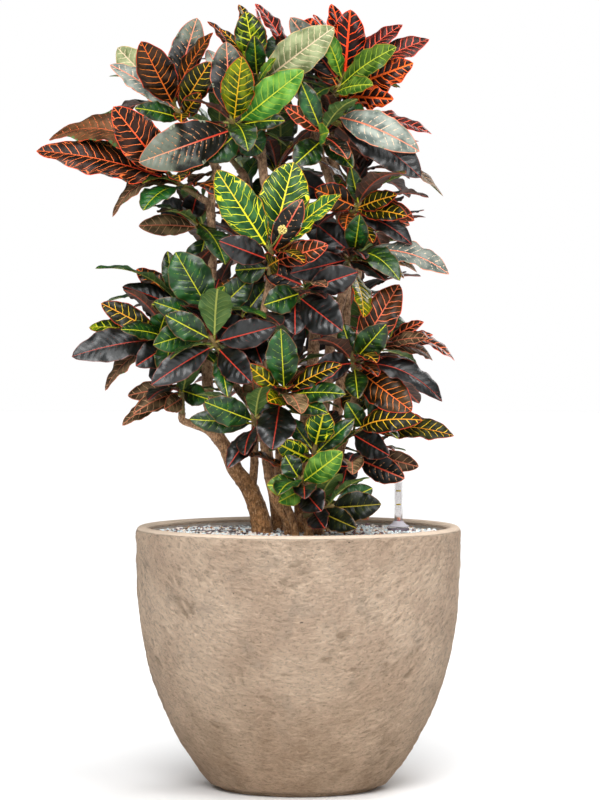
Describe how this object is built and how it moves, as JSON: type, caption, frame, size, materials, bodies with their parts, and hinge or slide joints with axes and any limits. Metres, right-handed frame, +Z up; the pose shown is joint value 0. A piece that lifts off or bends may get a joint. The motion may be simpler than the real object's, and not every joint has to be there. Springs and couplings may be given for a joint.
{
  "type": "potted croton",
  "caption": "Bushy potted croton with branching woody stems and broad net-veined leaves, in a rounded stone-look planter topped with granules, with a water-level gauge.",
  "frame": {"origin": "middle of the planter's flat foot, on the surface it stands on", "axes": "+Z up; +Y away from the side that shows best; +X to its right"},
  "size_m": [0.519, 0.4356, 0.971],
  "materials": {
    "planter_stone": "rough chiselled sandstone look, matt",
    "granulate": "mixed pale and dark mineral granules, matt",
    "soil": "dark rooted potting soil, matt",
    "bark": "smooth brown bark with leaf scars, matt",
    "leaf_green": "leathery green leaf with yellow veins, satin gloss",
    "leaf_dark": "leathery near-black leaf with red midrib, satin gloss",
    "leaf_red_veined": "dark leaf with red and orange veins, satin gloss",
    "leaf_young": "young bright green leaf, satin gloss",
    "leaf_silver": "grey-green leaf with pale veins, waxy sheen",
    "leaf_bronze": "dull bronze leaf, satin",
    "gauge_dark": "dark violet-grey plastic, satin",
    "gauge_clear": "clear plastic tube, gloss",
    "gauge_collar": "frosted lavender-grey plastic, gloss",
    "gauge_float": "red plastic indicator, satin"
  },
  "bodies": {
    "planter": {"pot": "planter_stone", "granulate_fill": "granulate", "root_ball": "soil", "granulate_top": "granulate", "gauge_sleeve": "gauge_dark", "gauge_base_ring": "gauge_dark", "gauge_view_tube": "gauge_clear", "gauge_collar": "gauge_collar", "stem_left_trunk": "bark", "stem_front": "bark", "stem_front_thin": "bark", "stem_middle": "bark", "stem_right": "bark", "stem_far_right": "bark", "stem_low_front": "bark", "stem_back_left": "bark", "stem_back_right": "bark", "shoot_crown_left": "leaf_red_veined", "shoot_red_left": "leaf_red_veined", "shoot_under_red_left": "leaf_bronze", "shoot_crown_middle": "leaf_silver", "shoot_crown_top": "leaf_green", "shoot_crown_back_middle": "leaf_dark", "shoot_crown_right": "leaf_red_veined", "shoot_silver_right": "leaf_silver", "shoot_under_crown_right": "leaf_green", "shoot_yellow_front": "leaf_green", "shoot_upper_right": "leaf_green", "shoot_waist_right": "leaf_dark", "shoot_waist_front": "leaf_dark", "shoot_waist_inner": "leaf_dark", "shoot_mid_right": "leaf_green", "shoot_mid_far_right": "leaf_red_veined", "shoot_lower_right": "leaf_green", "shoot_lower_far_right": "leaf_bronze", "shoot_green_left": "leaf_green", "shoot_waist_left": "leaf_green", "shoot_far_left": "leaf_green", "shoot_lower_left": "leaf_dark", "shoot_mid_left": "leaf_dark", "shoot_mid_front": "leaf_green", "shoot_lower_front_left": "leaf_green", "shoot_lower_front": "leaf_green", "shoot_low_young": "leaf_young", "shoot_low_right": "leaf_green", "shoot_back_high_left": "leaf_dark", "shoot_back_high_middle": "leaf_dark", "shoot_back_upper_left": "leaf_dark", "shoot_back_upper_middle": "leaf_dark", "shoot_back_waist_left": "leaf_dark", "shoot_back_low_left": "leaf_dark", "shoot_back_crown_right": "leaf_dark", "shoot_back_high_right": "leaf_dark", "shoot_back_upper_right": "leaf_dark", "shoot_back_waist_right": "leaf_dark", "shoot_back_low_right": "leaf_dark"},
    "float": {"gauge_float": "gauge_float"}
  },
  "joints": [
    {"name": "float_rise", "type": "slide", "parent": "planter", "child": "float", "axis": [0, 0, 1], "range_m": [0, 0.036]}
  ]
}
